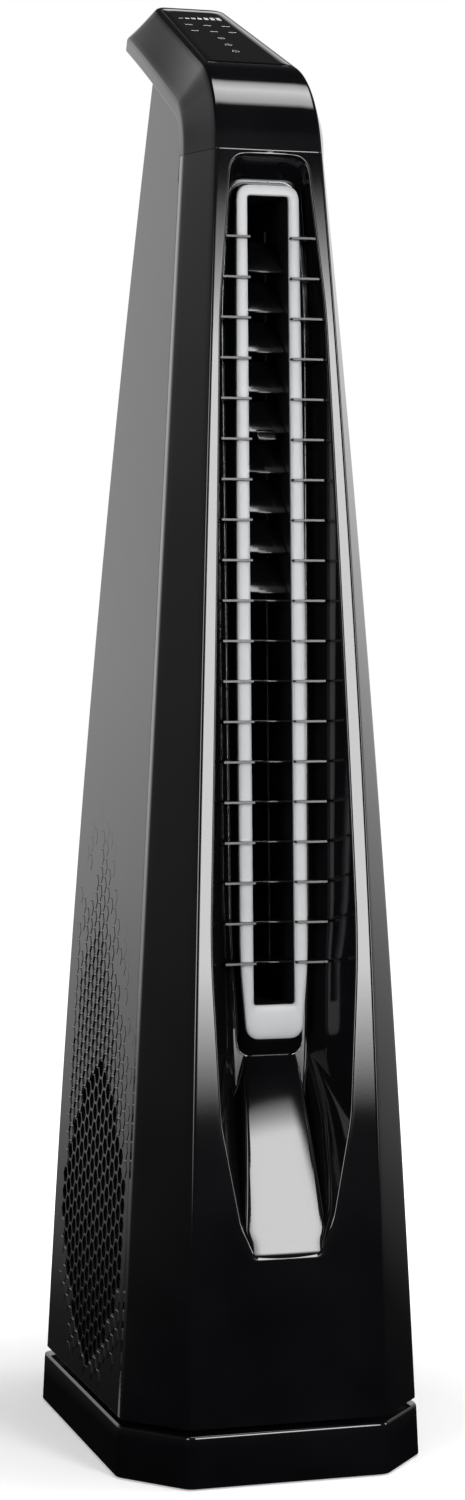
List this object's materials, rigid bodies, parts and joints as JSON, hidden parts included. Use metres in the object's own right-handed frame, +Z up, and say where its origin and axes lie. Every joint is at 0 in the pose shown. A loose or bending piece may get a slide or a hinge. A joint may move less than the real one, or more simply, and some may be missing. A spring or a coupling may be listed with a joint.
{
  "type": "tower fan",
  "caption": "Tall tapering gloss-black tower fan with a swept-back touch-panel hood, a tall louvred front outlet and honeycomb side intakes on a swivelling plinth.",
  "frame": {"origin": "on the floor under the middle of the plinth", "axes": "+Z up, front outlet faces -Y, +X to the right of someone facing the front"},
  "size_m": [0.2576, 0.323, 1.222],
  "materials": {
    "gloss_black": "high-gloss moulded ABS",
    "satin_silver": "satin silver paint on ABS",
    "chrome_trim": "chrome-plated ABS trim",
    "black_glass": "back-printed black glass",
    "inner_black": "fine-textured moulded polypropylene",
    "steel": "zinc-plated steel",
    "motor_case": "die-cast",
    "rubber": "moulded",
    "gear_white": "moulded acetal",
    "circuit_board": "solder-masked laminate",
    "filter_mesh": "moulded polypropylene net"
  },
  "bodies": {
    "base": {"plinth": "gloss_black", "ballast_plate": "steel", "rubber_feet": "rubber", "plinth_screws": "steel", "swivel_spindle": "steel", "spindle_clip": "steel", "thrust_washer": "gear_white", "swivel_ring_gear": "gear_white", "cord_gland": "rubber"},
    "tower": {"floor_pan": "inner_black", "swivel_motor": "steel", "outlet_recess": "gloss_black", "outlet_pod": "gloss_black", "outlet_loop": "satin_silver", "trim_ring": "chrome_trim", "guard_ribs": "gloss_black", "front_shell": "gloss_black", "left_side_panel": "gloss_black", "right_side_panel": "gloss_black", "rear_panel": "gloss_black", "hood": "gloss_black", "control_glass": "black_glass", "control_board": "circuit_board", "air_duct": "inner_black", "blower_scroll": "inner_black", "fan_motor": "motor_case", "motor_bearings": "steel", "motor_bracket": "inner_black", "filter_left": "filter_mesh", "filter_right": "filter_mesh", "power_board": "circuit_board", "rear_screws": "steel"},
    "pinion": {"swivel_pinion": "gear_white", "pinion_shaft": "steel"},
    "blower_wheel": {"impeller": "inner_black", "motor_shaft": "steel"},
    "vane_01": {"vane_01": "inner_black"},
    "vane_02": {"vane_02": "inner_black"},
    "vane_03": {"vane_03": "inner_black"},
    "vane_04": {"vane_04": "inner_black"},
    "vane_05": {"vane_05": "inner_black"},
    "vane_06": {"vane_06": "inner_black"},
    "vane_07": {"vane_07": "inner_black"},
    "vane_08": {"vane_08": "inner_black"},
    "vane_09": {"vane_09": "inner_black"},
    "vane_10": {"vane_10": "inner_black"},
    "vane_11": {"vane_11": "inner_black"},
    "vane_12": {"vane_12": "inner_black"},
    "vane_13": {"vane_13": "inner_black"},
    "vane_14": {"vane_14": "inner_black"},
    "vane_15": {"vane_15": "inner_black"},
    "vane_16": {"vane_16": "inner_black"},
    "vane_17": {"vane_17": "inner_black"},
    "vane_18": {"vane_18": "inner_black"},
    "vane_19": {"vane_19": "inner_black"},
    "upper_link": {"upper_link": "inner_black"},
    "lower_link": {"lower_link": "inner_black"}
  },
  "joints": [
    {"name": "tower_swivel", "type": "hinge", "parent": "base", "child": "tower", "pos_m": [0, 0, 0.043], "axis": [0, 0, 1], "range_deg": [-35, 35]},
    {"name": "pinion_spin", "type": "hinge", "parent": "tower", "child": "pinion", "pos_m": [0.072, 0, 0.045], "axis": [0, 0, 1], "range_deg": [-250, 250]},
    {"name": "blower_spin", "type": "hinge", "parent": "tower", "child": "blower_wheel", "pos_m": [0, -0.012, 0.178], "axis": [1, 0, 0], "continuous": true},
    {"name": "upper_louvre", "type": "hinge", "parent": "tower", "child": "vane_05", "pos_m": [0, -0.06907, 0.86441], "axis": [1, 0, 0], "range_deg": [-60, 0]},
    {"name": "vane_01_tilt", "type": "hinge", "parent": "tower", "child": "vane_01", "pos_m": [0, -0.0652, 0.9935], "axis": [1, 0, 0], "range_deg": [-60, 0]},
    {"name": "vane_02_tilt", "type": "hinge", "parent": "tower", "child": "vane_02", "pos_m": [0, -0.06616, 0.96123], "axis": [1, 0, 0], "range_deg": [-60, 0]},
    {"name": "vane_03_tilt", "type": "hinge", "parent": "tower", "child": "vane_03", "pos_m": [0, -0.06713, 0.92896], "axis": [1, 0, 0], "range_deg": [-60, 0]},
    {"name": "vane_04_tilt", "type": "hinge", "parent": "tower", "child": "vane_04", "pos_m": [0, -0.0681, 0.89668], "axis": [1, 0, 0], "range_deg": [-60, 0]},
    {"name": "vane_06_tilt", "type": "hinge", "parent": "tower", "child": "vane_06", "pos_m": [0, -0.07004, 0.83214], "axis": [1, 0, 0], "range_deg": [-60, 0]},
    {"name": "vane_07_tilt", "type": "hinge", "parent": "tower", "child": "vane_07", "pos_m": [0, -0.071, 0.79987], "axis": [1, 0, 0], "range_deg": [-60, 0]},
    {"name": "vane_08_tilt", "type": "hinge", "parent": "tower", "child": "vane_08", "pos_m": [0, -0.07197, 0.76759], "axis": [1, 0, 0], "range_deg": [-60, 0]},
    {"name": "vane_09_tilt", "type": "hinge", "parent": "tower", "child": "vane_09", "pos_m": [0, -0.07294, 0.73532], "axis": [1, 0, 0], "range_deg": [-60, 0]},
    {"name": "upper_link_swing", "type": "hinge", "parent": "vane_05", "child": "upper_link", "pos_m": [0, -0.0627, 0.87077], "axis": [1, 0, 0], "range_deg": [0, 60]},
    {"name": "lower_louvre", "type": "hinge", "parent": "tower", "child": "vane_14", "pos_m": [0, -0.07778, 0.57396], "axis": [1, 0, 0], "range_deg": [-5, 45]},
    {"name": "vane_10_tilt", "type": "hinge", "parent": "tower", "child": "vane_10", "pos_m": [0, -0.07391, 0.70305], "axis": [1, 0, 0], "range_deg": [-5, 45]},
    {"name": "vane_11_tilt", "type": "hinge", "parent": "tower", "child": "vane_11", "pos_m": [0, -0.07488, 0.67078], "axis": [1, 0, 0], "range_deg": [-5, 45]},
    {"name": "vane_12_tilt", "type": "hinge", "parent": "tower", "child": "vane_12", "pos_m": [0, -0.07584, 0.63851], "axis": [1, 0, 0], "range_deg": [-5, 45]},
    {"name": "vane_13_tilt", "type": "hinge", "parent": "tower", "child": "vane_13", "pos_m": [0, -0.07681, 0.60623], "axis": [1, 0, 0], "range_deg": [-5, 45]},
    {"name": "vane_15_tilt", "type": "hinge", "parent": "tower", "child": "vane_15", "pos_m": [0, -0.07875, 0.54169], "axis": [1, 0, 0], "range_deg": [-5, 45]},
    {"name": "vane_16_tilt", "type": "hinge", "parent": "tower", "child": "vane_16", "pos_m": [0, -0.07972, 0.50942], "axis": [1, 0, 0], "range_deg": [-5, 45]},
    {"name": "vane_17_tilt", "type": "hinge", "parent": "tower", "child": "vane_17", "pos_m": [0, -0.08069, 0.47714], "axis": [1, 0, 0], "range_deg": [-5, 45]},
    {"name": "vane_18_tilt", "type": "hinge", "parent": "tower", "child": "vane_18", "pos_m": [0, -0.08165, 0.44487], "axis": [1, 0, 0], "range_deg": [-5, 45]},
    {"name": "vane_19_tilt", "type": "hinge", "parent": "tower", "child": "vane_19", "pos_m": [0, -0.08262, 0.4126], "axis": [1, 0, 0], "range_deg": [-5, 45]},
    {"name": "lower_link_swing", "type": "hinge", "parent": "vane_14", "child": "lower_link", "pos_m": [0, -0.06878, 0.57396], "axis": [1, 0, 0], "range_deg": [-45, 5]}
  ],
  "couplings": [
    {"joint": "pinion_spin", "follows": "tower_swivel", "ratio": 7},
    {"joint": "vane_01_tilt", "follows": "upper_louvre", "ratio": 1},
    {"joint": "vane_02_tilt", "follows": "upper_louvre", "ratio": 1},
    {"joint": "vane_03_tilt", "follows": "upper_louvre", "ratio": 1},
    {"joint": "vane_04_tilt", "follows": "upper_louvre", "ratio": 1},
    {"joint": "vane_06_tilt", "follows": "upper_louvre", "ratio": 1},
    {"joint": "vane_07_tilt", "follows": "upper_louvre", "ratio": 1},
    {"joint": "vane_08_tilt", "follows": "upper_louvre", "ratio": 1},
    {"joint": "vane_09_tilt", "follows": "upper_louvre", "ratio": 1},
    {"joint": "upper_link_swing", "follows": "upper_louvre", "ratio": -1},
    {"joint": "vane_10_tilt", "follows": "lower_louvre", "ratio": 1},
    {"joint": "vane_11_tilt", "follows": "lower_louvre", "ratio": 1},
    {"joint": "vane_12_tilt", "follows": "lower_louvre", "ratio": 1},
    {"joint": "vane_13_tilt", "follows": "lower_louvre", "ratio": 1},
    {"joint": "vane_15_tilt", "follows": "lower_louvre", "ratio": 1},
    {"joint": "vane_16_tilt", "follows": "lower_louvre", "ratio": 1},
    {"joint": "vane_17_tilt", "follows": "lower_louvre", "ratio": 1},
    {"joint": "vane_18_tilt", "follows": "lower_louvre", "ratio": 1},
    {"joint": "vane_19_tilt", "follows": "lower_louvre", "ratio": 1},
    {"joint": "lower_link_swing", "follows": "lower_louvre", "ratio": -1}
  ]
}
